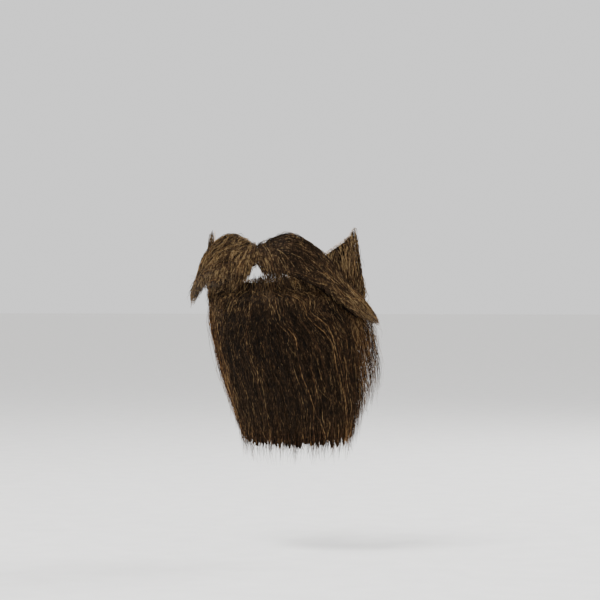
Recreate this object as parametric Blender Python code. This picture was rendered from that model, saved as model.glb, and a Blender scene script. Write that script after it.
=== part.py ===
"""Full false beard with its moustache: hair locks knotted on two shaped lace foundations, as worn.

Metres, +Z up. The wearer faces -Y, and +X is the wearer's left. The origin is the point of the chin, on
the skin side of the beard's lace. A turn is an azimuth round the face from its middle, positive to the
wearer's left, and a row is a place among FACE_ROWS.
"""

import math
from collections import namedtuple

import bpy
import numpy as np

# The lower face that the laces are shaped to
FACE_HEIGHT = 0.070  # point of the chin up to the tips of the sideburns
FACE_HALF_WIDTH = 0.066
FACE_DEPTH = 0.093  # front of the mouth back to where the face is widest
PROFILE_RELIEF = 0.010  # how far the profile of lips and chin moves in and out
JAW_RISE = 0.036  # the jaw's lower edge, from under the chin up to its corner

# The lace foundations
LACE_THICKNESS = 0.0010
LACE_SPREAD = math.radians(80)  # how far round the face the beard's lace reaches, each way
LIP_LACE_SPREAD = math.radians(36)
LACE_MARGIN = 0.0020  # bare lace left above the hair
SEAT_GAP = 0.0006  # between pieces that rest on each other
LACE_PITCH = math.radians(4)  # between columns of points round the face

# The beard's hair
EDGE_THICKNESS = 0.0024  # at the lace's upper edge
JAW_THICKNESS = 0.0100  # where the hair leaves the chin
JAW_FULLNESS = {"left": 0.60, "right": -0.30}  # how much more at the side, as a share, for a whole turn
FALL_THICKNESS = 0.0120  # the top layer of the fall at its fullest
TIP_THICKNESS = 0.0016
CHIN_PANEL = math.radians(38.5)  # each way, where the hair of the chin meets that of the cheeks
UNDER_SPREAD = math.radians(76)
UNDER_TAPER = 0.5  # of the under layer's depth is gone at its tips
FALL_LENGTH = 0.124  # point of the chin down to the longest tips
FALL_END_HALF_WIDTH = 0.049
FALL_END_HALF_DEPTH = 0.017
FALL_SET_BACK = 0.038  # the middle of the tips, behind the point of the chin
FALL_SWEEP = 0.024  # the middle of the tips, towards the wearer's left
FIRST_SWEEP = 0.6  # the same where the hair of the sides starts off, against DOWNWARD
FLARE = 0.9  # how far out the hair of the sides starts off, against DOWNWARD
DOWNWARD = 1.5
FIRST_HANDLE = 0.22  # of the way to its end that a lock keeps its first direction
LAST_HANDLE = 0.30  # and that it comes in straight down
TIP_NOTCH = 0.021  # the gaps between the tips of neighbouring locks
NOTCH_POWER = 1.3
TIP_STAGGER = 0.007
LOCK_SWAY = math.radians(1.3)

# The moustache's wings
WING_LENGTH = 0.110  # along one wing, for the shares of its notches
WING_TURN = {"left": math.radians(77), "right": math.radians(66)}
WING_LIFT = 0.0305  # the wing's upper edge above the line of the mouth, where it is highest
WING_DROP = {"left": 0.046, "right": 0.030}  # tip below the line of the mouth
WING_SEAT = 0.0023  # from the skin, where the wing starts
WING_STAND = {"left": 0.0213, "right": 0.0155}  # and how much more at its tip
WING_THICKNESS = 0.0120
WING_NOTCH = 0.020
WING_STAGGER = 0.007
WING_EDGE = 0.35  # thickness left at the wing's upper and lower edge, as a share

# Rows of the face from the cheeks down and under the chin. Level is a share of FACE_HEIGHT, front of
# PROFILE_RELIEF, half_width of FACE_HALF_WIDTH, depth of FACE_DEPTH and rise of JAW_RISE.
FaceRow = namedtuple("FaceRow", "name level front half_width depth rise")
FACE_ROWS = (
    FaceRow("cheek", 1.000, 1.00, 1.02, 0.90, 0.00),
    FaceRow("nose base", 0.743, 0.10, 1.00, 0.99, 0.00),
    FaceRow("mouth", 0.457, -0.40, 0.98, 1.02, 0.00),
    FaceRow("lip fold", 0.200, 0.40, 0.94, 0.94, 0.10),
    FaceRow("chin", 0.000, 0.00, 0.87, 0.94, 0.45),
    FaceRow("jaw edge", -0.170, 0.60, 0.78, 0.86, 1.00),
    FaceRow("under chin", -0.240, 2.00, 0.66, 0.69, 1.10),
    FaceRow("throat", -0.225, 3.40, 0.55, 0.54, 1.10),
)
MOUTH_ROW = 2
LEAVE_ROW = 4.7  # where the top layer leaves the chin and hangs
LEAVE_RISE = 1.7  # and how much sooner it leaves the jaw, for a whole turn to the side
UNDER_START = 0.45  # the under layer starts this much further under the jaw
ROWS_ON_FACE = 7  # sections of the lace and of the hair on it, down to where the hair leaves
ROWS_UNDER_JAW = 4  # and from where the under layer starts to the lace's foot

# Edges of the beard's lace from the middle of the chin to the back of the jaw. Share is of LACE_SPREAD,
# and top and foot are rows.
LaceEdge = namedtuple("LaceEdge", "share top foot")
BEARD_LACE = (
    LaceEdge(0.000, 2.44, 6.00),
    LaceEdge(0.140, 2.40, 6.00),
    LaceEdge(0.260, 2.25, 6.00),
    LaceEdge(0.370, 1.98, 6.00),
    LaceEdge(0.480, 1.64, 6.00),
    LaceEdge(0.600, 1.28, 5.95),
    LaceEdge(0.675, 1.00, 5.90),
    LaceEdge(0.750, 0.74, 5.85),
    LaceEdge(0.830, 0.48, 5.75),
    LaceEdge(0.888, 0.02, 5.60),
    LaceEdge(0.935, 0.95, 5.45),
    LaceEdge(1.000, 2.30, 5.30),
)

# Edges of the moustache's lace from the middle out. Share is of LIP_LACE_SPREAD, and lap goes from 0 on
# the skin to 1 on the beard's lace.
LipEdge = namedtuple("LipEdge", "share top foot lap")
LIP_LACE = (
    LipEdge(0.00, 1.04, 1.68, 0.0),
    LipEdge(0.30, 0.62, 1.74, 0.0),
    LipEdge(0.58, 0.48, 1.82, 0.0),
    LipEdge(0.76, 0.58, 1.90, 0.3),
    LipEdge(0.88, 0.72, 1.88, 1.0),
    LipEdge(1.00, 1.10, 1.76, 1.0),
)
LIP_ROWS = 6

# Where the hair ends, from the middle of the fall round to the back of the jaw. Share is of LACE_SPREAD,
# side of FALL_END_HALF_WIDTH, depth of FALL_END_HALF_DEPTH and drop of FALL_LENGTH.
FallEnd = namedtuple("FallEnd", "share side depth drop")
TOP_ENDS = (
    FallEnd(0.00, 0.00, -1.00, 1.00),
    FallEnd(0.24, 0.46, -0.88, 1.00),
    FallEnd(0.48, 0.84, -0.50, 0.98),
    FallEnd(0.60, 0.98, -0.05, 0.93),
    FallEnd(0.80, 1.22, 1.10, 0.75),
    FallEnd(1.00, 1.44, 2.20, 0.60),
)
UNDER_ENDS = (
    FallEnd(0.00, 0.00, -1.00, 1.00),
    FallEnd(0.24, 0.46, -0.88, 1.00),
    FallEnd(0.48, 0.84, -0.50, 0.98),
    FallEnd(0.60, 0.93, -0.20, 0.95),
    FallEnd(0.80, 0.99, 0.15, 0.91),
    FallEnd(1.00, 1.00, 0.45, 0.88),
)
BACK_ENDS = (
    FallEnd(0.00, 0.00, 1.00, 0.97),
    FallEnd(0.24, 0.42, 0.96, 0.97),
    FallEnd(0.48, 0.74, 0.86, 0.96),
    FallEnd(0.60, 0.84, 0.80, 0.94),
    FallEnd(0.80, 0.95, 0.70, 0.91),
    FallEnd(1.00, 0.98, 0.62, 0.88),
)
FALL_ROWS = (0.0, 0.10, 0.20, 0.32, 0.45, 0.58)  # down the fall, to where the locks part
PARTED_ROWS = 3

# Sections of a wing from the parting to its tip. Turn is a share of WING_TURN, stand of WING_STAND on top
# of WING_SEAT, and thickness of WING_THICKNESS. Top and foot are the wing's edges, as shares of WING_LIFT
# above the mouth and of WING_DROP below it.
WingRow = namedtuple("WingRow", "share turn stand thickness left_top left_foot right_top right_foot")
WING_ROWS = (
    WingRow(0.00, 0.02, 0.00, 0.45, 0.68, 0.11, 0.66, 0.09),
    WingRow(0.10, 0.13, 0.00, 0.75, 0.86, -0.02, 0.83, -0.08),
    WingRow(0.22, 0.27, 0.04, 0.95, 0.98, -0.11, 0.97, -0.27),
    WingRow(0.36, 0.42, 0.14, 1.00, 0.74, -0.21, 0.84, -0.40),
    WingRow(0.52, 0.58, 0.22, 1.00, 0.34, -0.41, 0.53, -0.45),
    WingRow(0.66, 0.72, 0.34, 0.92, -0.08, -0.67, 0.06, -0.52),
    WingRow(0.80, 0.85, 0.60, 0.75, -0.42, -0.87, -0.36, -0.74),
    WingRow(0.92, 0.94, 0.82, 0.50, -0.68, -0.96, -0.61, -0.91),
    WingRow(1.00, 1.00, 1.00, 0.22, -0.88, -1.00, -0.77, -0.97),
)
WING_SECTIONS = 12

# Where neighbouring locks meet, as shares across each head of hair
CHIN_LOCKS = (0.0, 0.10, 0.22, 0.33, 0.45, 0.55, 0.67, 0.78, 0.90, 1.0)
CHEEK_LOCKS = (0.0, 0.17, 0.35, 0.53, 0.705, 0.895, 1.0)
UNDER_LOCKS = (0.0, 0.13, 0.26, 0.38, 0.50, 0.62, 0.74, 0.87, 1.0)
WING_LOCKS = (0.0, 0.20, 0.42, 0.60, 0.80, 1.0)
LOCK_PLACES = (-1.0, -0.5, 0.0, 0.5)  # across a lock, from one groove to the next
GROOVE = 0.50  # thickness left in the groove between two locks
BACK_GROOVE = 0.35  # how much of that groove shows on the back of the under layer

MATERIALS = {
    "hair": ((0.045, 0.030, 0.020, 1.0), 0.45),
    "lace": ((0.46, 0.33, 0.23, 1.0), 0.85),
}


def clear_scene():
    for obj in list(bpy.data.objects):
        bpy.data.objects.remove(obj)


def make_materials():
    for name, (colour, roughness) in MATERIALS.items():
        material = bpy.data.materials.new(name)
        material.use_nodes = True
        shader = material.node_tree.nodes["Principled BSDF"]
        shader.inputs["Base Color"].default_value = colour
        shader.inputs["Roughness"].default_value = roughness
        shader.inputs["Metallic"].default_value = 0.0


def smooth_read(table, column, at):
    """The column's value at a place among the table's rows, on a smooth curve through the rows."""
    values = [getattr(row, column) for row in table]
    low = min(max(int(at), 0), len(values) - 2)
    t = at - low
    p1, p2 = values[low], values[low + 1]
    p0 = values[low - 1] if low > 0 else 2 * p1 - p2
    p3 = values[low + 2] if low + 2 < len(values) else 2 * p2 - p1
    return 0.5 * (2 * p1 + (p2 - p0) * t + (2 * p0 - 5 * p1 + 4 * p2 - p3) * t**2
                  + (3 * p1 - p0 - 3 * p2 + p3) * t**3)


def straight_read(table, column, share):
    """The column's value at a share of the way along the table, on straight lines between its rows."""
    return float(np.interp(share, [row.share for row in table], [getattr(row, column) for row in table]))


def curve_read(table, column, share):
    """The column's value at a share of the way along the table, on a smooth curve through its rows."""
    at = np.interp(share, [row.share for row in table], range(len(table)))
    return smooth_read(table, column, float(at))


def unit(vector):
    return vector / np.linalg.norm(vector)


def side_of(turn):
    return "left" if turn > 0 else "right"


def face_point(turn, row):
    """The skin at a turn and a row."""
    back = 1 - math.cos(turn)
    x = smooth_read(FACE_ROWS, "half_width", row) * FACE_HALF_WIDTH * math.sin(turn)
    y = (smooth_read(FACE_ROWS, "front", row) * PROFILE_RELIEF
         + smooth_read(FACE_ROWS, "depth", row) * FACE_DEPTH * back)
    z = (smooth_read(FACE_ROWS, "level", row) * FACE_HEIGHT
         + smooth_read(FACE_ROWS, "rise", row) * JAW_RISE * back)
    return np.array((x, y, z))


def face_slopes(turn, row):
    """Unit vectors along the skin: round the face, and down it."""
    step = 1e-3
    round_face = face_point(turn + step, row) - face_point(turn - step, row)
    down_face = face_point(turn, row + step) - face_point(turn, row - step)
    return unit(round_face), unit(down_face)


def off_skin(turn, row, stand):
    """A point standing off the skin by a distance."""
    round_face, down_face = face_slopes(turn, row)
    return face_point(turn, row) + stand * unit(np.cross(down_face, round_face))


def lace_edge(turn, edge):
    """The row of the beard lace's top or foot."""
    return straight_read(BEARD_LACE, edge, abs(turn) / LACE_SPREAD)


def hair_top(turn):
    """The row where the beard's hair starts, a bare margin below the lace's top."""
    row = lace_edge(turn, "top")
    step = 0.05
    return row + LACE_MARGIN * step / np.linalg.norm(face_point(turn, row + step) - face_point(turn, row))


def leave_row(turn):
    """The row where the top layer leaves the jaw."""
    return LEAVE_ROW - LEAVE_RISE * (1 - math.cos(turn))


def jaw_thickness(turn):
    return JAW_THICKNESS * (1 + JAW_FULLNESS[side_of(turn)] * (1 - math.cos(turn)))


def outward(turn, fall):
    """The way the hair thickens: off the jaw where it leaves, and level from 0.4 of the fall on."""
    round_face, down_face = face_slopes(turn, leave_row(turn))
    off_jaw = unit(np.cross(down_face, round_face))
    level = np.array((math.sin(turn), -math.cos(turn), 0.0))
    blend = min(1.0, fall / 0.4)
    return unit(off_jaw * (1 - blend) + level * blend)


def hang(start, first_way, ends, turn, fall):
    """A point down a lock that starts off one way and ends at its place in a table of ends."""
    share = abs(turn) / LACE_SPREAD
    drop = curve_read(ends, "drop", share)
    side = math.copysign(curve_read(ends, "side", share), turn)
    end = np.array((
        FALL_SWEEP * drop + side * FALL_END_HALF_WIDTH,
        FALL_SET_BACK + curve_read(ends, "depth", share) * FALL_END_HALF_DEPTH,
        -drop * FALL_LENGTH,
    ))
    reach = np.linalg.norm(end - start)
    first = start + FIRST_HANDLE * reach * first_way
    last = end + LAST_HANDLE * reach * np.array((0.0, 0.0, 1.0))
    left = 1 - fall
    return start * left**3 + 3 * first * fall * left**2 + 3 * last * fall**2 * left + end * fall**3


def fall_front(turn, fall, ends):
    """The inner face of the top layer, or the front of the under layer, down the fall."""
    start = off_skin(turn, leave_row(turn), LACE_THICKNESS + SEAT_GAP)
    down = face_slopes(turn, leave_row(turn))[1]
    aside = FLARE * math.sin(turn)**3 + FIRST_SWEEP * math.sin(turn)**2
    return hang(start, unit(down + np.array((aside, 0.0, -DOWNWARD))), ends, turn, fall)


def fall_back(turn, fall):
    """The back of the under layer, from the lace's foot at fall 0 to the tips at fall 1."""
    start = off_skin(turn, lace_edge(turn, "foot"), LACE_THICKNESS + SEAT_GAP)
    return hang(start, unit(np.array((0.0, math.cos(turn), -1.0))), BACK_ENDS, turn, fall)


def sway(fall, turn):
    """A slow sideways wander of the locks as they hang."""
    return LOCK_SWAY * math.sin(2 * math.pi * fall + 3 * turn) * min(1.0, 3 * fall)


def ridge(place):
    """A lock's thickness across itself, from 1 in its middle to GROOVE at its sides."""
    return GROOVE + (1 - GROOVE) * (1 - abs(place)**2.2)


def lock_columns(edges, start, end):
    """(position, place across its lock, number of its lock) of each column across a head of hair."""
    columns = []
    for number, (low, high) in enumerate(zip(edges, edges[1:])):
        for place in LOCK_PLACES:
            share = low + (high - low) * (place + 1) / 2
            columns.append((start + (end - start) * share, place, number))
    columns.append((end, 1.0, len(edges) - 2))
    return columns


def tip_share(turn, place, number):
    """How far down the fall a lock reaches at a place across it: no two neighbours end level."""
    lock_wander = math.sin(2.4 * number) * (1 - place**2)
    hem_wander = 0.5 * math.sin(9 * turn)
    shorter = TIP_STAGGER * (1.5 - lock_wander - hem_wander) + TIP_NOTCH * abs(place)**NOTCH_POWER
    return 1 - shorter / FALL_LENGTH


def down_the_fall(rows, tip):
    """Shares of the fall for each section of a lock that ends at the share tip."""
    return list(rows) + [rows[-1] + (tip - rows[-1]) * (k + 1) / PARTED_ROWS for k in range(PARTED_ROWS)]


def closed_shell(name, outer, inner, slot):
    """One solid between two sheets of points that have the same rows and columns."""
    outer, inner = np.array(outer), np.array(inner)
    rows, columns = outer.shape[:2]
    points = np.concatenate((outer.reshape(-1, 3), inner.reshape(-1, 3)))
    far = rows * columns

    def at(row, column, side):
        return row * columns + column + side * far

    faces = []
    for r in range(rows - 1):
        for c in range(columns - 1):
            quad = (at(r, c, 0), at(r + 1, c, 0), at(r + 1, c + 1, 0), at(r, c + 1, 0))
            faces.append(quad)
            faces.append(tuple(index + far for index in reversed(quad)))
    last_row, last_column = rows - 1, columns - 1
    for r in range(rows - 1):
        faces.append((at(r, 0, 0), at(r, 0, 1), at(r + 1, 0, 1), at(r + 1, 0, 0)))
        faces.append((at(r + 1, last_column, 0), at(r + 1, last_column, 1),
                      at(r, last_column, 1), at(r, last_column, 0)))
    for c in range(columns - 1):
        faces.append((at(0, c + 1, 0), at(0, c + 1, 1), at(0, c, 1), at(0, c, 0)))
        faces.append((at(last_row, c, 0), at(last_row, c, 1), at(last_row, c + 1, 1), at(last_row, c + 1, 0)))
    mesh = bpy.data.meshes.new(name)
    mesh.from_pydata([tuple(point) for point in points], [], faces)
    mesh.materials.append(bpy.data.materials[slot])
    mesh.shade_smooth()
    mesh.set_sharp_from_angle(angle=math.radians(50))
    obj = bpy.data.objects.new(name, mesh)
    bpy.context.scene.collection.objects.link(obj)


def lace_columns(table, spread):
    """Turns from one end of a lace to the other, which take in each row of its table."""
    half = []
    for low, high in zip(table, table[1:]):
        count = max(1, round((high.share - low.share) * spread / LACE_PITCH))
        half += [low.share + (high.share - low.share) * k / count for k in range(count)]
    half.append(table[-1].share)
    return [-share * spread for share in reversed(half[1:])] + [share * spread for share in half]


def make_beard_lace():
    """The net that follows the jaw from one sideburn round the chin to the other."""
    outer, inner = [], []
    turns = lace_columns(BEARD_LACE, LACE_SPREAD)
    for k in range(ROWS_ON_FACE + 1 + ROWS_UNDER_JAW + 1):
        outer.append([])
        inner.append([])
        for turn in turns:
            top, foot = lace_edge(turn, "top"), lace_edge(turn, "foot")
            if k <= ROWS_ON_FACE:
                row = top + (leave_row(turn) - top) * k / ROWS_ON_FACE
            else:
                begin = leave_row(turn) + UNDER_START
                row = begin + (foot - begin) * (k - ROWS_ON_FACE - 1) / ROWS_UNDER_JAW
            outer[-1].append(off_skin(turn, row, LACE_THICKNESS))
            inner[-1].append(face_point(turn, row))
    closed_shell("beard_lace", outer, inner, "lace")


def make_moustache_lace():
    """The net on the upper lip, whose ends lap on the bare margin of the beard's lace."""
    outer, inner = [], []
    turns = lace_columns(LIP_LACE, LIP_LACE_SPREAD)
    for k in range(LIP_ROWS):
        outer.append([])
        inner.append([])
        for turn in turns:
            share = abs(turn) / LIP_LACE_SPREAD
            top = straight_read(LIP_LACE, "top", share)
            foot = straight_read(LIP_LACE, "foot", share)
            lap = straight_read(LIP_LACE, "lap", share) * (LACE_THICKNESS + SEAT_GAP)
            row = top + (foot - top) * k / (LIP_ROWS - 1)
            outer[-1].append(off_skin(turn, row, lap + LACE_THICKNESS))
            inner[-1].append(off_skin(turn, row, lap))
    closed_shell("moustache_lace", outer, inner, "lace")


def make_top_layer(name, edges, start, end):
    """Hair that lies on the front of the lace and then hangs, from one turn to another."""
    columns = lock_columns(edges, start, end)
    outer, inner = [], []
    for k in range(ROWS_ON_FACE):
        down = k / ROWS_ON_FACE
        outer.append([])
        inner.append([])
        for turn, place, _ in columns:
            top = hair_top(turn)
            row = top + (leave_row(turn) - top) * down
            thick = EDGE_THICKNESS + (jaw_thickness(turn) - EDGE_THICKNESS) * down**0.8
            thick *= ridge(place * min(1.0, 0.4 + down))
            inner[-1].append(off_skin(turn, row, LACE_THICKNESS + SEAT_GAP))
            outer[-1].append(off_skin(turn, row, LACE_THICKNESS + SEAT_GAP + thick))
    for k in range(len(FALL_ROWS) + PARTED_ROWS):
        outer.append([])
        inner.append([])
        for turn, place, number in columns:
            fall = down_the_fall(FALL_ROWS, tip_share(turn, place, number))[k]
            swell = math.sin(math.pi / 2 * min(1.0, 1.6 * fall))
            full = jaw_thickness(turn) + (FALL_THICKNESS - jaw_thickness(turn)) * swell
            thick = full + (TIP_THICKNESS - full) * fall**2.2
            swayed = turn + sway(fall, turn)
            base = fall_front(swayed, fall, TOP_ENDS)
            inner[-1].append(base)
            outer[-1].append(base + outward(swayed, fall) * thick * ridge(place))
    closed_shell(name, outer, inner, "hair")


def make_under_hair():
    """Hair knotted under the jaw, which fills the fall behind the top layer."""
    columns = lock_columns(UNDER_LOCKS, -UNDER_SPREAD, UNDER_SPREAD)
    hanging = len(FALL_ROWS) - 1
    front_rows = np.interp(np.linspace(0, hanging - 1, ROWS_UNDER_JAW + hanging), range(hanging), FALL_ROWS[1:])
    outer, inner = [], []
    for k in range(len(front_rows) + PARTED_ROWS):
        outer.append([])
        inner.append([])
        for turn, place, number in columns:
            tip = tip_share(turn, place, number)
            fall = down_the_fall(front_rows, tip)[k]
            swayed = turn + sway(fall, turn)
            front = fall_front(swayed, fall, UNDER_ENDS) - outward(swayed, fall) * 2 * SEAT_GAP
            outer[-1].append(front)
            if k <= ROWS_UNDER_JAW:
                begin = leave_row(turn) + UNDER_START
                row = begin + (lace_edge(turn, "foot") - begin) * k / ROWS_UNDER_JAW
                inner[-1].append(off_skin(turn, row, LACE_THICKNESS + SEAT_GAP))
                continue
            behind = fall_back(swayed, down_the_fall(FALL_ROWS[1:], tip)[k - ROWS_UNDER_JAW])
            groove = BACK_GROOVE * (1 - ridge(place)) * math.sin(math.pi * fall)
            inner[-1].append(front + (behind - front) * (1 - groove - UNDER_TAPER * fall**3))
    closed_shell("under_hair", outer, inner, "hair")


def cheek_point(turn, height, stand):
    """A point standing off the cheek, which below the mouth is taken to run straight down."""
    rows = np.linspace(0, MOUTH_ROW, 41)
    levels = [-smooth_read(FACE_ROWS, "level", row) * FACE_HEIGHT for row in rows]
    point = off_skin(turn, float(np.interp(-height, levels, rows)), stand)
    point[2] += min(0.0, height + levels[-1])
    return point


def make_wing(side):
    """One half of the moustache, combed out from the parting and past the edge of the beard."""
    sign = 1 if side == "left" else -1
    mouth = smooth_read(FACE_ROWS, "level", MOUTH_ROW) * FACE_HEIGHT
    outer, inner = [], []
    for k in range(WING_SECTIONS):
        outer.append([])
        inner.append([])
        for across, place, number in lock_columns(WING_LOCKS, -1.0, 1.0):
            shorter = WING_NOTCH * abs(place)**NOTCH_POWER + WING_STAGGER * (number % 2)
            share = k / (WING_SECTIONS - 1) * (1 - shorter / WING_LENGTH)
            turn = curve_read(WING_ROWS, "turn", share) * WING_TURN[side]
            edges = [curve_read(WING_ROWS, f"{side}_{edge}", share) for edge in ("top", "foot")]
            top, foot = (edge * (WING_LIFT if edge > 0 else WING_DROP[side]) for edge in edges)
            height = mouth + (top + foot) / 2 + across * (top - foot) / 2
            stand = WING_SEAT + curve_read(WING_ROWS, "stand", share) * WING_STAND[side]
            thick = curve_read(WING_ROWS, "thickness", share) * WING_THICKNESS
            rounded = WING_EDGE + (1 - WING_EDGE) * math.sqrt(max(0.0, 1 - across**2))
            inner[-1].append(cheek_point(sign * turn, height, stand))
            outer[-1].append(cheek_point(sign * turn, height, stand + thick * rounded * ridge(place)))
    if sign < 0:
        outer, inner = [row[::-1] for row in outer], [row[::-1] for row in inner]
    closed_shell(f"moustache_wing_{side}", outer, inner, "hair")


def main():
    clear_scene()
    make_materials()
    make_beard_lace()
    make_moustache_lace()
    seam = CHIN_PANEL + SEAT_GAP / FALL_END_HALF_WIDTH
    cheek_end = LACE_SPREAD - LACE_MARGIN / FACE_DEPTH
    make_top_layer("chin_hair", CHIN_LOCKS, -CHIN_PANEL, CHIN_PANEL)
    make_top_layer("sideburn_hair_left", CHEEK_LOCKS, seam, cheek_end)
    mirrored = [1 - share for share in reversed(CHEEK_LOCKS)]
    make_top_layer("sideburn_hair_right", mirrored, -cheek_end, -seam)
    make_under_hair()
    make_wing("left")
    make_wing("right")


main()
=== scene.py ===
"""Full false beard with its moustache: brown hair knotted on two shaped nets of lace, as worn.

Run as a script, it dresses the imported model. Each head of hair becomes strands in clumps over a dense core
of the head's own form, and each lace becomes a net of thread with a knot of hair at half its corners.
Metres, +Z up, the wearer facing -Y, +X to the wearer's left, the origin at the point of the chin.
"""

import math
from collections import namedtuple
from math import radians

import bpy
import numpy as np
from bpy.props import FloatProperty, FloatVectorProperty, IntProperty, PointerProperty
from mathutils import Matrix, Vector


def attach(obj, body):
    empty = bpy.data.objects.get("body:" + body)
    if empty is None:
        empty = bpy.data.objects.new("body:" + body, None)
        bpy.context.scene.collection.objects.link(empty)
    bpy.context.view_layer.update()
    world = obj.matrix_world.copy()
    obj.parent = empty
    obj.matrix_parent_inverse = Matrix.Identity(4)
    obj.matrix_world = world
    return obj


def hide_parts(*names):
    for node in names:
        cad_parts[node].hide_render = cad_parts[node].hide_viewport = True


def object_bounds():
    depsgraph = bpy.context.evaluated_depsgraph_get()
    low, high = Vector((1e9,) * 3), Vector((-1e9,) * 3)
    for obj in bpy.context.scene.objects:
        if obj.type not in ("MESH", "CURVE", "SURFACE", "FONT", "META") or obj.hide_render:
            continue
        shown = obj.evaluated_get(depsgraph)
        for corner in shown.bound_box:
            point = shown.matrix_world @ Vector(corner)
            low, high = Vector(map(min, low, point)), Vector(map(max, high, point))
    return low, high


bl_info = {
    "name": "False Beard",
    "version": (1, 0, 0),
    "blender": (4, 5, 0),
    "location": "View3D > Sidebar > Beard",
    "description": "Dresses a false beard and moustache with strands of hair and nets of lace",
    "category": "Add Mesh",
}

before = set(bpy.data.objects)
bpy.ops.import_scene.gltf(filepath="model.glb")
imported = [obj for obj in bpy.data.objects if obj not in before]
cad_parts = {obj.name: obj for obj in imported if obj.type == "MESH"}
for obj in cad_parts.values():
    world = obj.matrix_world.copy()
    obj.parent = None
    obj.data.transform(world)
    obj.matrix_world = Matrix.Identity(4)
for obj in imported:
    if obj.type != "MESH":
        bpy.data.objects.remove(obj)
CAD_LOW, CAD_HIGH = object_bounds()

# The lower face that the laces are shaped to
FACE_HEIGHT, FACE_HALF_WIDTH, FACE_DEPTH = 0.070, 0.066, 0.093
PROFILE_RELIEF, JAW_RISE = 0.010, 0.036

# The laces
LACE_THICKNESS, SEAT_GAP, LACE_MARGIN = 0.0010, 0.0006, 0.0020
HAIR_SEAT = LACE_THICKNESS + SEAT_GAP
LACE_SPREAD, LIP_LACE_SPREAD = radians(80), radians(36)

# The beard's hair
EDGE_THICKNESS, JAW_THICKNESS, FALL_THICKNESS, TIP_THICKNESS = 0.0024, 0.0100, 0.0120, 0.0016
JAW_FULLNESS_LEFT, JAW_FULLNESS_RIGHT = 0.60, -0.30
CHIN_PANEL, UNDER_SPREAD = radians(38.5), radians(76)
FALL_LENGTH, FALL_END_HALF_WIDTH, FALL_END_HALF_DEPTH = 0.124, 0.049, 0.017
FALL_SET_BACK, FALL_SWEEP, FIRST_SWEEP, FLARE, DOWNWARD = 0.038, 0.024, 0.6, 0.9, 1.5
FIRST_HANDLE, LAST_HANDLE = 0.22, 0.30
LEAVE_ROW, LEAVE_RISE, UNDER_START, UNDER_TAPER = 4.7, 1.7, 0.45, 0.5

# The moustache's wings
WING_TURN = {"left": radians(77), "right": radians(66)}
WING_LIFT = 0.0305
WING_DROP = {"left": 0.046, "right": 0.030}
WING_STAND = {"left": 0.0213, "right": 0.0155}
WING_SEAT, WING_THICKNESS, WING_EDGE = 0.0023, 0.0120, 0.35

# The strands: how high their roots spring and over what length, how long the hair is from the lace's top to the
# jaw and to the fan's end, how far to the left of the chin's middle the fan starts, how far the strands slant back
# to the right down the fall, how far a panel's strands cross into the next, and how far round the under layer is
# dense
ROOT_LIFT, ROOT_ARC, LACE_DROP, FAN_LENGTH = 0.0095, 0.012, 0.035, 0.085
PART_SHIFT, SLANT, PANEL_LAP, UNDER_CORE_SPREAD = 0.08, 0.22, 0.14, radians(64)

# The cores: rows, columns, thinnest and fullest layer, and how ragged their hem is
CORE_ROWS, CORE_COLUMNS, CORE_THIN, CORE_FULL, HEM_RAGGED = 22, 81, 0.02, 0.50, 0.09

# Shares of strands: sunk in the fall, short among those, short at the top, straight down from the root, and pale
SUNK, SHORT, TUFT, STRAIGHT, PALE = 0.58, 0.65, 0.5, 0.12, 0.08
# A wing's strands, by one draw: at the parting, then beside the lip, then in the rest of the fringe
PARTING, NEAR_LIP, FRINGE = 0.10, 0.30, 0.56
# The mean reach, the mean tone, and painted shade by layer: a strand deep in the hair is made darker by this much
MEAN_REACH, MEAN_TONE, PAINTED_LAYER_SHADE = 0.975, 0.38, 0.20
WISPS_START, WISPS_END = radians(48), radians(72)


def table(columns, *rows):
    """A short table as arrays, one for each named column."""
    return dict(zip(columns.split(), np.array(rows, float).T))


MOUTH_ROW = 2
FACE = table(
    "level front half_width depth rise",
    (1.000, 1.00, 1.02, 0.90, 0.00),  # cheek
    (0.743, 0.10, 1.00, 0.99, 0.00),  # nose base
    (0.457, -0.40, 0.98, 1.02, 0.00),  # mouth
    (0.200, 0.40, 0.94, 0.94, 0.10),  # lip fold
    (0.000, 0.00, 0.87, 0.94, 0.45),  # chin
    (-0.170, 0.60, 0.78, 0.86, 1.00),  # jaw edge
    (-0.240, 2.00, 0.66, 0.69, 1.10),  # under chin
    (-0.225, 3.40, 0.55, 0.54, 1.10),  # throat
)
BEARD_LACE = table(
    "share top foot",
    (0.000, 2.44, 6.00),
    (0.140, 2.40, 6.00),
    (0.260, 2.25, 6.00),
    (0.370, 1.98, 6.00),
    (0.480, 1.64, 6.00),
    (0.600, 1.28, 5.95),
    (0.675, 1.00, 5.90),
    (0.750, 0.74, 5.85),
    (0.830, 0.48, 5.75),
    (0.888, 0.02, 5.60),
    (0.935, 0.95, 5.45),
    (1.000, 2.30, 5.30),
)
LIP_LACE = table(
    "share top foot lap",
    (0.00, 1.04, 1.68, 0.0),
    (0.30, 0.62, 1.74, 0.0),
    (0.58, 0.48, 1.82, 0.0),
    (0.76, 0.58, 1.90, 0.3),
    (0.88, 0.72, 1.88, 1.0),
    (1.00, 1.10, 1.76, 1.0),
)
FRONT_ENDS = ((0.00, 0.00, -1.00, 1.00), (0.24, 0.46, -0.88, 1.00), (0.48, 0.84, -0.50, 0.98))
TOP_ENDS = table(
    "share side depth drop",
    *FRONT_ENDS,
    (0.60, 0.98, -0.05, 0.93),
    (0.80, 1.22, 1.10, 0.75),
    (1.00, 1.44, 2.20, 0.60),
)
UNDER_ENDS = table(
    "share side depth drop",
    *FRONT_ENDS,
    (0.60, 0.93, -0.20, 0.95),
    (0.80, 0.99, 0.15, 0.91),
    (1.00, 1.00, 0.45, 0.88),
)
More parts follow.
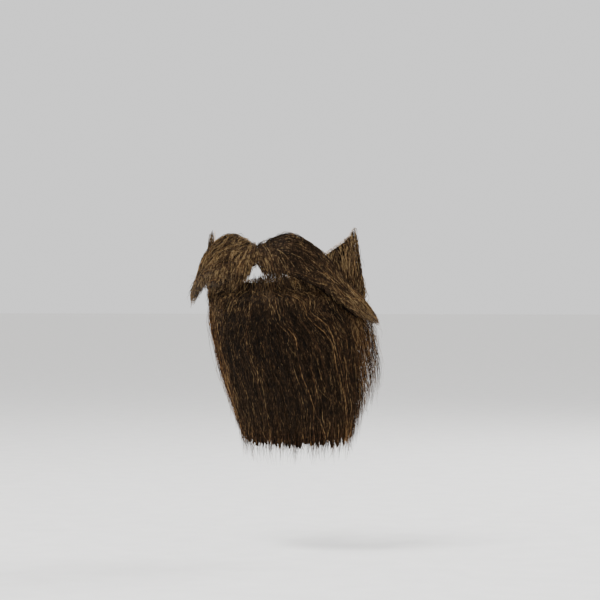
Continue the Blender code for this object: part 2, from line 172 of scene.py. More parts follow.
BACK_ENDS = table(
    "share side depth drop",
    (0.00, 0.00, 1.00, 0.97),
    (0.24, 0.42, 0.96, 0.97),
    (0.48, 0.74, 0.86, 0.96),
    (0.60, 0.84, 0.80, 0.94),
    (0.80, 0.95, 0.70, 0.91),
    (1.00, 0.98, 0.62, 0.88),
)
WING = table(
    "share turn stand thickness left_top left_foot right_top right_foot",
    (0.00, 0.02, 0.00, 0.45, 0.68, 0.11, 0.66, 0.09),
    (0.10, 0.13, 0.00, 0.75, 0.86, -0.02, 0.83, -0.08),
    (0.22, 0.27, 0.04, 0.95, 0.98, -0.11, 0.97, -0.27),
    (0.36, 0.42, 0.14, 1.00, 0.74, -0.21, 0.84, -0.40),
    (0.52, 0.58, 0.22, 1.00, 0.34, -0.41, 0.53, -0.45),
    (0.66, 0.72, 0.34, 0.92, -0.08, -0.67, 0.06, -0.52),
    (0.80, 0.85, 0.60, 0.75, -0.42, -0.87, -0.36, -0.74),
    (0.92, 0.94, 0.82, 0.50, -0.68, -0.96, -0.61, -0.91),
    (1.00, 1.00, 1.00, 0.22, -0.88, -1.00, -0.77, -0.97),
)


def to_linear(text):
    """An sRGB hex colour as a linear RGB triple."""
    parts = [int(text[k:k + 2], 16) / 255 for k in (1, 3, 5)]
    return tuple(c / 12.92 if c <= 0.04045 else ((c + 0.055) / 1.055) ** 2.4 for c in parts)


# Shape of the face and of the heads of hair, on arrays of turns round the face


def smooth_read(values, at):
    """The values at places among them, on a smooth curve."""
    low = np.clip(np.floor(at).astype(int), 0, len(values) - 2)
    t = at - low
    padded = np.concatenate(([2 * values[0] - values[1]], values, [2 * values[-1] - values[-2]]))
    p0, p1, p2, p3 = (padded[low + k] for k in range(4))
    return 0.5 * (2 * p1 + (p2 - p0) * t + (2 * p0 - 5 * p1 + 4 * p2 - p3) * t**2
                  + (3 * p1 - p0 - 3 * p2 + p3) * t**3)


def curve_read(rows, column, share):
    at = np.interp(share, rows["share"], np.arange(len(rows["share"])))
    return smooth_read(rows[column], at)


def ease(t, start, end):
    """0 before start and 1 after end, with a smooth rise between."""
    x = np.clip((t - start) / (end - start), 0, 1)
    return x * x * (3 - 2 * x)


def unit(vectors):
    return vectors / np.maximum(np.linalg.norm(vectors, axis=-1, keepdims=True), 1e-12)


def face_point(turn, row):
    back = 1 - np.cos(turn)
    return np.stack((
        smooth_read(FACE["half_width"], row) * FACE_HALF_WIDTH * np.sin(turn),
        smooth_read(FACE["front"], row) * PROFILE_RELIEF + smooth_read(FACE["depth"], row) * FACE_DEPTH * back,
        smooth_read(FACE["level"], row) * FACE_HEIGHT + smooth_read(FACE["rise"], row) * JAW_RISE * back,
    ), -1)


def face_slopes(turn, row):
    step = 1e-3
    round_face = face_point(turn + step, row) - face_point(turn - step, row)
    down_face = face_point(turn, row + step) - face_point(turn, row - step)
    return unit(round_face), unit(down_face)


def off_skin(turn, row, stand):
    round_face, down_face = face_slopes(turn, row)
    return face_point(turn, row) + np.asarray(stand)[..., None] * unit(np.cross(down_face, round_face))


def lace_edge(turn, edge):
    return np.interp(np.abs(turn) / LACE_SPREAD, BEARD_LACE["share"], BEARD_LACE[edge])


def hair_top(turn):
    """The row where the beard's hair starts, a margin below the lace's top."""
    row, step = lace_edge(turn, "top"), 0.05
    length = np.linalg.norm(face_point(turn, row + step) - face_point(turn, row), axis=-1)
    return row + LACE_MARGIN * step / length


def leave_row(turn):
    return LEAVE_ROW - LEAVE_RISE * (1 - np.cos(turn))


def jaw_thickness(turn):
    fullness = np.where(turn > 0, JAW_FULLNESS_LEFT, JAW_FULLNESS_RIGHT)
    return JAW_THICKNESS * (1 + fullness * (1 - np.cos(turn)))


def outward(turn, fall):
    """The way the hair thickens: off the jaw where it leaves, and level from 0.4 of the fall on."""
    round_face, down_face = face_slopes(turn, leave_row(turn))
    off_jaw = unit(np.cross(down_face, round_face))
    level = np.stack((np.sin(turn), -np.cos(turn), np.zeros_like(turn)), -1)
    blend = np.clip(fall / 0.4, 0, 1)[..., None]
    return unit(off_jaw * (1 - blend) + level * blend)


def hang(start, first_way, ends, turn, fall):
    """Points down the hair that starts off one way and ends at its place in a table of ends."""
    share = np.abs(turn) / LACE_SPREAD
    drop = curve_read(ends, "drop", share)
    side = np.copysign(curve_read(ends, "side", share), turn)
    end = np.stack((
        FALL_SWEEP * drop + side * FALL_END_HALF_WIDTH,
        FALL_SET_BACK + curve_read(ends, "depth", share) * FALL_END_HALF_DEPTH,
        -drop * FALL_LENGTH,
    ), -1)
    reach = np.linalg.norm(end - start, axis=-1, keepdims=True)
    first = start + FIRST_HANDLE * reach * first_way
    last = end + LAST_HANDLE * reach * np.array((0.0, 0.0, 1.0))
    t = np.minimum(fall, 1)[..., None]
    left = 1 - t
    hanging = start * left**3 + 3 * first * t * left**2 + 3 * last * t**2 * left + end * t**3
    hanging[..., 2] -= np.maximum(fall - 1, 0) * FALL_LENGTH
    return hanging


def fall_front(turn, fall, ends):
    start = off_skin(turn, leave_row(turn), HAIR_SEAT)
    down = face_slopes(turn, leave_row(turn))[1]
    aside = FLARE * np.sin(turn)**3 + FIRST_SWEEP * np.sin(turn)**2
    way = down + np.stack((aside, np.zeros_like(aside), np.full_like(aside, -DOWNWARD)), -1)
    return hang(start, unit(way), ends, turn, fall)


def fall_back(turn, fall):
    start = off_skin(turn, lace_edge(turn, "foot"), HAIR_SEAT)
    way = unit(np.stack((np.zeros_like(turn), np.cos(turn), np.full_like(turn, -1.0)), -1))
    return hang(start, way, BACK_ENDS, turn, fall)


def top_layer(turn, down, layer):
    """Points of the beard's top layer: down goes 0 to 1 on the lace and 2 at the tips, layer 0 to 1 outwards."""
    on = np.clip(down, -0.06, 1)
    top = hair_top(turn)
    thick = EDGE_THICKNESS + (jaw_thickness(turn) - EDGE_THICKNESS) * np.maximum(on, 0)**0.8
    on_face = off_skin(turn, top + (leave_row(turn) - top) * on, HAIR_SEAT + thick * layer)
    fall = np.maximum(down - 1, 0)
    swell = np.sin(math.pi / 2 * np.minimum(1, 1.6 * fall))
    full = jaw_thickness(turn) + (FALL_THICKNESS - jaw_thickness(turn)) * swell
    thick = full + (TIP_THICKNESS - full) * np.minimum(fall, 1)**2.2
    hanging = fall_front(turn, fall, TOP_ENDS) + outward(turn, fall) * (thick * layer)[..., None]
    return np.where((down < 1)[..., None], on_face, hanging)


def under_layer(turn, down, layer):
    """Points of the under layer: down goes 0 on the lace to 1 at the tips, layer 0 at the back to 1 in front."""
    front = fall_front(turn, np.maximum(down, 0.1), UNDER_ENDS) - outward(turn, down) * 2 * SEAT_GAP
    behind = fall_back(turn, down)
    start = leave_row(turn) + UNDER_START
    row = start + (lace_edge(turn, "foot") - start) * np.clip(1 - layer, 0, 1)
    root = off_skin(turn, row, HAIR_SEAT)
    taper = 1 - UNDER_TAPER * np.minimum(down, 1)**3
    inside = front + (behind - front) * ((1 - layer) * taper)[..., None]
    blend = ease(down, 0, 0.22)[..., None]
    return root * (1 - blend) + inside * blend


def wing_layer(side):
    """A function that gives points of one wing: across it from -1 at its foot, along it from the parting, and
    outwards."""
    sign = 1 if side == "left" else -1
    mouth = FACE["level"][MOUTH_ROW] * FACE_HEIGHT
    rows = np.linspace(0, MOUTH_ROW, 41)
    levels = smooth_read(FACE["level"], rows) * FACE_HEIGHT

    def point(across, along, layer):
        past_parting = np.minimum(along, 0)
        turn = sign * (curve_read(WING, "turn", along) + past_parting) * WING_TURN[side]
        edges = [curve_read(WING, f"{side}_{edge}", along) for edge in ("top", "foot")]
        top, foot = (edge * np.where(edge > 0, WING_LIFT, WING_DROP[side]) for edge in edges)
        height = mouth + (top + foot) / 2 + across * (top - foot) / 2
        rounded = WING_EDGE + (1 - WING_EDGE) * np.sqrt(np.clip(1 - across**2, 0, 1))
        stand = (WING_SEAT + curve_read(WING, "stand", along) * WING_STAND[side]
                 + curve_read(WING, "thickness", along) * WING_THICKNESS * rounded * layer)
        placed = off_skin(turn, np.interp(-height, -levels, rows), stand)
        placed[..., 2] += np.minimum(0, height - levels[-1])
        return placed

    return point


# Meshes from arrays


def mesh_piece(name, points, faces, materials, attributes=(), slots=None):
    """An object from points and a list of face arrays, each of one number of corners."""
    mesh = bpy.data.meshes.new(name)
    mesh.vertices.add(len(points))
    mesh.vertices.foreach_set("co", np.asarray(points, np.float32).ravel())
    counts = np.concatenate([np.full(len(f), f.shape[1]) for f in faces])
    corners = np.concatenate([f.ravel() for f in faces])
    mesh.loops.add(len(corners))
    mesh.loops.foreach_set("vertex_index", corners.astype(np.int32))
    mesh.polygons.add(len(counts))
    mesh.polygons.foreach_set("loop_start", (np.cumsum(counts) - counts).astype(np.int32))
    mesh.polygons.foreach_set("use_smooth", np.ones(len(counts), bool))
    for material in materials:
        mesh.materials.append(material)
    if slots is not None:
        mesh.polygons.foreach_set("material_index", slots.astype(np.int32))
    for attribute, values in dict(attributes).items():
        mesh.attributes.new(attribute, "FLOAT", "POINT").data.foreach_set("value", values.astype(np.float32))
    mesh.update(calc_edges=True)
    mesh.validate()
    piece = bpy.data.objects.new(name, mesh)
    bpy.context.scene.collection.objects.link(piece)
    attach(piece, "root")
    return piece


def three_sided(first, second):
    """Three ways out from each place, evenly round it, from two at right angles."""
    angles = 2 * math.pi * np.arange(3)[:, None] / 3
    return first[..., None, :] * np.cos(angles) + second[..., None, :] * np.sin(angles)


def repeated(faces, size, times):
    """The faces of one body of so many points, for each of the like bodies that follow each other."""
    faces = np.array(faces)
    return (faces + size * np.arange(times)[:, None, None]).reshape(-1, faces.shape[1])


def tubes(paths, radii):
    """(points, quads, triangles) of a closed three-sided tube along each path, which ends in a point."""
    strands, steps = paths.shape[:2]
    along = unit(np.gradient(paths, axis=1))
    first = unit(np.cross(along, np.array((0.31, 0.87, 0.38))))
    ring = three_sided(first, np.cross(along, first))
    rings = (paths[:, :, None] + ring * radii[:, :, None, None])[:, :-1]
    points = np.concatenate((rings.reshape(strands, -1, 3), paths[:, -1:]), 1)
    ring_start, side = np.meshgrid(3 * np.arange(steps - 2), np.arange(3), indexing="ij")
    after = (side + 1) % 3
    quad = np.stack((side, after, after + 3, side + 3), -1) + ring_start[..., None]
    last = 3 * (steps - 2)
    ends = [(last, last + 1, last + 3), (last + 1, last + 2, last + 3), (last + 2, last, last + 3), (2, 1, 0)]
    size = points.shape[1]
    return points.reshape(-1, 3), repeated(quad.reshape(-1, 4), size, strands), repeated(ends, size, strands)


def shell(outer, inner):
    """(points, quads) of the closed solid between two sheets of points, each (rows, columns, 3)."""
    rows, columns = outer.shape[:2]
    index = np.arange(rows * columns).reshape(rows, columns)
    far = rows * columns
    front = np.stack((index[:-1, :-1], index[1:, :-1], index[1:, 1:], index[:-1, 1:]), -1).reshape(-1, 4)
    loop = np.concatenate((index[:-1, 0], index[-1, :-1], index[:0:-1, -1], index[0, :0:-1]))
    after = np.roll(loop, -1)
    rim = np.stack((loop, loop + far, after + far, after), -1)
    quads = np.concatenate((front, front[:, ::-1] + far, rim))
    points = np.concatenate((outer.reshape(-1, 3), inner.reshape(-1, 3)))
    a, b, c, d = (points[quads[:, k]] for k in range(4))
    volume = np.einsum("ij,ij->", a, np.cross(b, c)) + np.einsum("ij,ij->", a, np.cross(c, d))
    return points, quads if volume > 0 else quads[:, ::-1]


# Strands of hair

Look = namedtuple("Look", "steps rise wave frizz strays stray_reach")
Strands = namedtuple("Strands", "across down layer clump sunk lift")


def strand_share(steps):
    """How far along a strand each of its points is, 0 to 1, closer together near the root."""
    return np.linspace(0, 1, steps)[None]**1.25


def join_clumps(places, clumps, rng):
    """The number of each root's clump, and the root that the clump gathers round."""
    centres = rng.choice(len(places), clumps, replace=False)
    clump = np.argmin(((places[:, None] - places[centres][None])**2).sum(2), 1)
    return clump, centres[clump]


def comb(point, core, strands, look, rng):
    """The path of each strand over a head of hair, as an array (strands, steps, 3), and how far it strays.

    point and core give the head's shape and its core's layer. A strand keeps to its own layer between the core and
    the outside. Its root springs up by its lift, or is sunk in the core.
    """
    count = len(strands.layer)
    t = strand_share(look.steps)
    across, down = strands.across, strands.down
    under = core(across, down)
    sunk = strands.sunk[:, None] * (1 - ease(t, 0, 0.18))
    climb = (0.15 + 0.85 * ease(t, 0, look.rise)) * (1 - sunk)
    layer = under * (1 - 0.6 * sunk) + (1 - under) * strands.layer[:, None] * climb
    stray = np.where(rng.random(count) < look.strays, rng.random(count), 0)[:, None]
    paths = point(across, down, layer + look.stray_reach * stray * t**1.5)
    beside = unit(point(across + 1e-3, down, layer) - point(across, down, layer))
    out = unit(np.cross(beside, unit(np.gradient(paths, axis=1))))
    length = np.linalg.norm(np.diff(paths, axis=1), axis=2).sum(1)[:, None]
    run = length * t
    paths[..., 2] += strands.lift[:, None] * np.sin(math.pi * np.minimum(1, run / ROOT_ARC))

    def wander(waves, amount, own):
        """Sines of several wavelengths, whose heights and phases are a clump's or a strand's own.

        A wave that is short for the strand's points is made lower, so that it doesn't zigzag.
        """
        total = np.zeros_like(run)
        for wave in waves:
            shown = np.clip(wave * look.steps / length / 3 - 0.4, 0.15, 1)
            height = rng.normal(0, amount * (wave / waves[0])**0.7, len(own))[own][:, None]
            phase = rng.uniform(0, 2 * math.pi, len(own))[own][:, None]
            total += shown * height * np.sin(2 * math.pi * run / wave + phase)
        return total * ease(t, 0, 0.12)

    each = np.arange(count)
    clump = strands.clump
    sideways = wander((0.090, 0.045), look.wave, clump) + wander((0.040, 0.022, 0.012), look.frizz, each)
    outwards = wander((0.070, 0.035), 0.5 * look.wave, clump) + wander((0.030, 0.014), 0.4 * look.frizz, each)
    sideways += stray * rng.normal(0, 0.005, (count, 1)) * t**2
    return paths + beside * sideways[..., None] + out * outwards[..., None], stray


def strand_radii(count, steps, width, rng):
    """Half the strand's width at each of its points: thin at the root, and drawn out to the tip."""
    t = strand_share(steps)
    own = rng.uniform(0.65, 1.3, (count, 1))
    return 0.5 * width * own * np.minimum(1, 0.6 + 4 * t) * (1 - 0.5 * ease(t, 0.6, 1))


def strand_tones(strands, steps, lighter, rng):
    """How light each point is, 0 at the darkest to 1: by clump, by strand, painted shade by layer, and painted
    highlights at crimps.
    """
    count = len(strands.layer)
    t = strand_share(steps)

    # Painted highlights that come and go along a strand, where its crimps would catch the light
    def shine(waves, height, own):
        cycles = rng.uniform(*waves, count)[own][:, None]
        return height * np.sin(2 * math.pi * (cycles * t + rng.random(count)[own][:, None]))

    by_clump = rng.normal(0, 0.07, count)[strands.clump][:, None] + shine((2, 5), 0.08, strands.clump)
    by_strand = rng.normal(0, 0.17, (count, 1)) + shine((4, 8), 0.12, np.arange(count))
    pale = (rng.random((count, 1)) < PALE) * rng.uniform(0.10, 0.28, (count, 1))
    root = -0.10 * (1 - ease(t, 0, 0.12)) * (strands.lift == 0)[:, None]
    tone = MEAN_TONE + PAINTED_LAYER_SHADE * (strands.layer[:, None] - 0.6) + by_clump + by_strand + pale + root + lighter
    return np.clip(tone, 0.02, 1)


def grown(point, core, strands, look, lighter, rng):
    """(paths, strays, radii, tones) of the strands over a head of hair, drawn in this order."""
    paths, stray = comb(point, core, strands, look, rng)
    radii = strand_radii(len(stray), look.steps, bpy.context.scene.beard_hair.strand_width, rng)
    return paths, stray, radii, strand_tones(strands, look.steps, lighter, rng)


def core_layer(place, full, thinning, end):
    """How far out the core reaches: it grows up to a place, and thins away over a length before its end."""
    return CORE_THIN + CORE_FULL * ease(place, *full) * (1 - ease(place, end - thinning, end))


def core_solid(point, core, across, start, ends):
    """(points, quads) of the dense hair that the strands lie on, from one row down to an end for each column."""
    share = np.linspace(0, 1, CORE_ROWS)[:, None]
    rows = start + (ends - start)[None] * share
    columns = np.broadcast_to(across, rows.shape)
    return shell(point(columns, rows, core(columns, rows)), point(columns, rows, np.zeros_like(rows)))


def head_of_hair(node, paths, radii, tones, painted_backlight, core):
    """One piece of the strands and the core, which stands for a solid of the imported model."""
    points, quads, triangles = tubes(paths, radii)
    core_points, core_quads = core

    def on_points(values):
        """A strand's values at its points, repeated round each of its rings, and 0 on the core."""
        rings = np.concatenate((np.repeat(values[:, :-1], 3, axis=1), values[:, -1:]), 1).ravel()
        return np.concatenate((rings, np.zeros(len(core_points))))

    slots = np.repeat((0, 1), (len(quads) + len(triangles), len(core_quads)))
    piece = mesh_piece(
        f"{node}_strands", np.concatenate((points, core_points)), [quads, triangles, core_quads + len(points)],
        [ready("wefted brown hair", hair_material), ready("packed brown hair in painted shade", core_material)],
        {"tone": on_points(tones), "painted_backlight": on_points(painted_backlight)}, slots)
    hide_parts(node)


# Materials


def add(tree, kind, settings=(), links=()):
    """A node with its settings, by attribute or by socket, and its links from other nodes' sockets."""
    node = tree.nodes.new(kind)
    for key, value in dict(settings).items():
        if isinstance(key, str) and hasattr(node, key):
            setattr(node, key, value)
        else:
            node.inputs[key].default_value = value
    for key, socket in dict(links).items():
        tree.links.new(socket, node.inputs[key])
    return node


def ready(name, make):
    """The material of that name, made the first time that it is asked for."""
    return bpy.data.materials.get(name) or make(name)


def finish(name, **sockets):
    """A material with a Principled shader, and its sockets' values."""
    material = bpy.data.materials.new(name)
    material.use_nodes = True
    shader = material.node_tree.nodes["Principled BSDF"]
    for key, value in sockets.items():
        shader.inputs[key.replace("_", " ")].default_value = value
    return material, material.node_tree, shader


def colour_steps(tree, level, *steps):
    """A colour ramp on a level, through (place, colour) steps."""
    node = add(tree, "ShaderNodeValToRGB", (), {"Fac": level})
    elements = node.color_ramp.elements
    while len(elements) < len(steps):
        elements.new(0.5)
    for element, (place, colour) in zip(elements, steps):
        element.position = place
        element.color = (*colour, 1)
    return node.outputs["Color"]


def noise(tree, grain, squeeze, detail, roughness=0.5):
    """Noise over the object in grains of one size, which are longer up and down where squeeze is below 1."""
    where = add(tree, "ShaderNodeTexCoord")
    shape = add(tree, "ShaderNodeMapping", {"Scale": (1, 1, squeeze)}, {"Vector": where.outputs["Object"]})
    return add(tree, "ShaderNodeTexNoise", {"Scale": 1 / grain, "Detail": detail, "Roughness": roughness},
               {"Vector": shape.outputs["Vector"]}).outputs["Fac"]


def hair_material(name):
    # Modacrylic fibre: smooth and round, with a satin sheen that breaks up between the strands
    material, tree, shader = finish(name, Roughness=0.45, IOR=1.52, Specular_IOR_Level=0.1)
    hair = bpy.context.scene.beard_hair
    tone = add(tree, "ShaderNodeAttribute", {"attribute_name": "tone"})
    painted_backlight = add(tree, "ShaderNodeAttribute", {"attribute_name": "painted_backlight"})
    # The dye takes unevenly in streaks 9 mm wide and five times as long down the hang of the hair. Each strand is
    # crimped every few millimetres, and painted highlights speckle it where a crimp would catch the light. Noise
    # lies round 0.5, so that is taken off again.
    level, taken_off = tone.outputs["Fac"], 0
    for grain, squeeze, detail, roughness, contrast in ((0.009, 0.2, 3, 0.6, 0.36), (0.0016, 0.4, 1, 0.5, 1.0)):
        grains = noise(tree, grain, squeeze, detail, roughness)
        level = add(tree, "ShaderNodeMath", {"operation": "MULTIPLY_ADD", 1: contrast},
                    {0: grains, 2: level}).outputs[0]
        taken_off += contrast / 2
    level = add(tree, "ShaderNodeMath", {"operation": "SUBTRACT", "use_clamp": True, 1: taken_off},
                {0: level}).outputs[0]
    colour = colour_steps(tree, level, (0, hair.dark), (0.38, hair.base), (0.66, hair.fair), (1, hair.light))
    # Painted light: where few strands lie over each other, the light that would come through them is painted in,
    # redder
    glow = add(tree, "ShaderNodeMix", {"data_type": "RGBA", "blend_type": "MULTIPLY", 7: (2.1, 1.4, 0.95, 1)},
               {0: painted_backlight.outputs["Fac"], 6: colour})
    tree.links.new(glow.outputs[2], shader.inputs["Base Color"])
    return material


def core_material(name):
    # The same fibre packed so close that only its streaks show
    material, tree, shader = finish(name, Roughness=0.85, IOR=1.52, Specular_IOR_Level=0.04)
    hair = bpy.context.scene.beard_hair
    # Strands about 1.2 mm apart, drawn out down the hang of the hair
    streaks = noise(tree, 0.0012, 0.06, 2)
    # Painted shade: the core runs from below the strands' darkest colour up to their base, so the gaps between
    # strands look deep
    colour = colour_steps(tree, streaks, (0.4, tuple(0.7 * c for c in hair.dark)), (0.8, hair.base))
    bump = add(tree, "ShaderNodeBump", {"Strength": 0.5, "Distance": 0.0006}, {"Height": streaks})
    tree.links.new(colour, shader.inputs["Base Color"])
    tree.links.new(bump.outputs["Normal"], shader.inputs["Normal"])
    return material


def lace_material(name):
    # Nylon monofilament net, dyed to skin: matt, with the soft sheen of fine thread
    material, tree, shader = finish(name, Roughness=0.7, Sheen_Weight=0.25)
    colour = bpy.context.scene.beard_lace.colour
    # The dye is uneven over some 9 mm
    shade = colour_steps(tree, noise(tree, 0.009, 1, 3), (0.35, tuple(0.82 * c for c in colour)),
                         (0.65, tuple(min(1, 1.12 * c) for c in colour)))
    tree.links.new(shade, shader.inputs["Base Color"])
    return material


def paper_material(name):
    # Matt studio paper, with the faint mottle of its pulp
    material, tree, shader = finish(name, Roughness=0.95, Specular_IOR_Level=0.1)
    colour = colour_steps(tree, noise(tree, 0.03, 1, 4), (0.3, to_linear("#efeeec")), (0.7, to_linear("#f6f5f3")))
    tree.links.new(colour, shader.inputs["Base Color"])
    return material


# Heads of hair


def make_top_hair(node, start, end, count, clumps, fan, seed):
    """The top layer between two turns round the face. Its strands fan out from under the lip, then hang."""
    hair = bpy.context.scene.beard_hair
    rng = np.random.default_rng(seed)
    limit = LACE_SPREAD - LACE_MARGIN / FACE_DEPTH
    low, high = max(start - PANEL_LAP, -limit), min(end + PANEL_LAP, limit)
    on_cheek = start * end > 0

    def core_end(turn):
        """Where the fall is no longer dense: at its tips, and far higher at the back of the cheeks."""
        return 1.95 - 0.45 * ease(np.abs(turn), radians(50), radians(68))

    def core(turn, down):
        return core_layer(down, (0.0, 0.3), 0.6, core_end(turn))

    # Full strands are knotted near the lace's top, and sunk ones come out lower down
    sunk = rng.random(count) < SUNK
    root_down = np.where(sunk, rng.uniform(0.0, 1.45, count), -0.04 + 0.98 * rng.random(count)**2.2)
    end_turn = rng.uniform(start, end, count)
    clump, centre = join_clumps(np.stack((2.0 * end_turn, root_down), -1), clumps, rng)
    end_turn += (end_turn[centre] - end_turn) * 0.55 * rng.random(count)**0.5
    end_turn += rng.normal(0, 0.03, count) + (rng.random(count) < 0.25) * rng.normal(0, 0.10, count)
    end_turn = np.clip(end_turn, low, high)
    reach = MEAN_REACH + rng.normal(0, 0.030, count)[clump] + rng.normal(0, 0.035, count)
    wispy = ease(np.abs(end_turn), WISPS_START, WISPS_END)
    reach += (rng.random(count) < 0.20) * rng.uniform(0, 0.13, count) - 0.50 * wispy * rng.random(count)**1.4
    end_down = 1 + np.clip(reach, 0.2, 1.10)
    short = sunk & (rng.random(count) < SHORT)
    end_down = np.where(short, np.minimum(end_down, root_down + rng.uniform(0.40, 0.85, count)), end_down)
    at_top = root_down < 0.08
    tuft = at_top & ~sunk & (rng.random(count) < TUFT)
    end_down = np.where(tuft, root_down + rng.uniform(0.35, 0.9, count), np.maximum(end_down, root_down + 0.25))
    down = root_down[:, None] + (end_down - root_down)[:, None] * strand_share(hair.steps)

    # At its root a strand is this share of its way round to where it hangs
    drawn_in = fan + (1 - fan) * ease(np.abs(end_turn), radians(45), radians(64))
    drawn_in = np.clip(drawn_in + 0.25 * (1 - drawn_in) * rng.normal(0, 1, count), 0.1, 1)[:, None]
    drawn_in[rng.random(count) < STRAIGHT] = 1
    drawn_in[tuft] = np.maximum(drawn_in[tuft], 0.55)
    run = LACE_DROP * np.clip(down, 0, 1) + FALL_LENGTH * np.clip(down - 1, 0, 1)
    spread = 1 - (1 - np.clip(run / FAN_LENGTH, 0, 1))**1.6
    across = end_turn[:, None] * (drawn_in + (1 - drawn_in) * spread) + PART_SHIFT * (1 - drawn_in) * (1 - spread)
    # The fall sweeps to the left, and its strands hang steeper than its sides
    middle = ease(end_turn, radians(-50), 0) * (1 - ease(end_turn, radians(40), radians(72)))
    across += SLANT * middle[:, None] * spread * (1 - np.clip(down - 1, 0, 1))
    layer = np.clip(0.45 + 0.6 * (1 - np.maximum(root_down, 0)) - 0.5 * rng.random(count)**1.5, 0.05, 1)
    layer = np.where(sunk, rng.uniform(0.35, 1, count), layer)
    spring = ROOT_LIFT * (1 - 0.5 * ease(np.abs(end_turn), radians(20), radians(50)))
    lift = np.where(at_top, rng.uniform(0.6, 1.1, count) * spring, 0)
    strands = Strands(np.clip(across, -limit, limit), down, layer, clump, sunk, lift)
    look = Look(hair.steps, 0.12, 0.0012, hair.frizz, 0.14 if on_cheek else 0.06, 0.7)
    paths, stray, radii, tones = grown(top_layer, core, strands, look, 0, rng)
    wispy = wispy[:, None]
    radii *= 1 - 0.35 * wispy * ease(down, 0.9, 1.3)
    # Painted shade: the middle of the fall is darkened where it lies in the shade of its own upper half
    shade = -0.12 * ease(down, 0.4, 1.0) * (1 - 0.6 * ease(down, 1.4, 2.0)) * (1 - wispy)
    # Painted light just under the lip, against the moustache's shadow; and the cheeks' hair is lighter, more so
    # towards the top
    shade += 0.04 * (1 - ease(down, 0.1, 0.5)) + 0.18 * on_cheek * (1 - 0.5 * ease(down, 0.8, 1.5))
    tones = np.clip(tones + shade, 0.02, 1)
    # Painted light that comes through the hair: at the tips, in strays, down the fall's right edge and in the wisps
    right_edge = ease(-end_turn, 0.6, 1.3)[:, None]
    painted_backlight = np.clip(0.5 * ease(down, 1.75, 2.1) + 0.2 * stray + 0.3 * right_edge * ease(down, 0.9, 1.3)
                     + 0.2 * wispy * ease(down, 1.1, 1.6), 0, 1)
    columns = np.linspace(start, end, CORE_COLUMNS)
    hem = core_end(columns) + 0.035 - HEM_RAGGED * rng.random(CORE_COLUMNS)**1.5
    head_of_hair(node, paths, radii, tones, painted_backlight, core_solid(top_layer, core, columns, 0.01, hem))


def make_under_hair(count, clumps, seed):
    """The hair knotted under the jaw. Most strands lie at the back of it, where it shows."""
    hair = bpy.context.scene.beard_hair
    rng = np.random.default_rng(seed)
    turn = rng.uniform(-UNDER_SPREAD, UNDER_SPREAD, count)
    layer = np.where(rng.random(count) < 0.6, rng.uniform(-0.04, 0.12, count), rng.uniform(0.1, 1, count))
    clump, centre = join_clumps(np.stack((2.0 * turn, layer), -1), clumps, rng)
    end_turn = turn + (turn[centre] - turn) * 0.6 * rng.random(count) + rng.normal(0, 0.03, count)
    end_turn = np.clip(end_turn, -UNDER_SPREAD, UNDER_SPREAD)
    reach = MEAN_REACH + rng.normal(0, 0.03, count)[clump] + rng.normal(0, 0.035, count) - 0.3 * rng.random(count)**4
    t = strand_share(hair.steps)
    down = np.clip(reach, 0.4, 1.09)[:, None] * t
    across = turn[:, None] + (end_turn - turn)[:, None] * t
    none = np.zeros(count)

    def kept_layer(turns, downs, _):
        # A strand keeps its layer, which also says where on the lace its root is
        return under_layer(turns, downs, np.broadcast_to(layer[:, None], turns.shape))

    strands = Strands(across, down, none + 0.5, clump, none, none)
    look = Look(hair.steps, 0.25, 0.0013, hair.frizz, 0.0, 0.0)
    paths, _, radii, tones = grown(kept_layer, lambda turns, downs: 0 * downs, strands, look, -0.06, rng)
    columns = np.linspace(-UNDER_CORE_SPREAD, UNDER_CORE_SPREAD, CORE_COLUMNS)
    hem = 0.96 - HEM_RAGGED * rng.random(CORE_COLUMNS)**1.5
    rows = 0.02 + (hem - 0.02) * np.linspace(0, 1, CORE_ROWS)[:, None]
    turns = np.broadcast_to(columns, rows.shape)
    half = 0.42 * (1 - 0.8 * ease(rows, 0.5, 0.93))
    core = shell(under_layer(turns, rows, 0.52 + half), under_layer(turns, rows, 0.52 - half))
    # Painted light that comes through the hair towards its tips
    head_of_hair("under_hair", paths, radii, tones, 0.6 * ease(down, 0.75, 1.1), core)


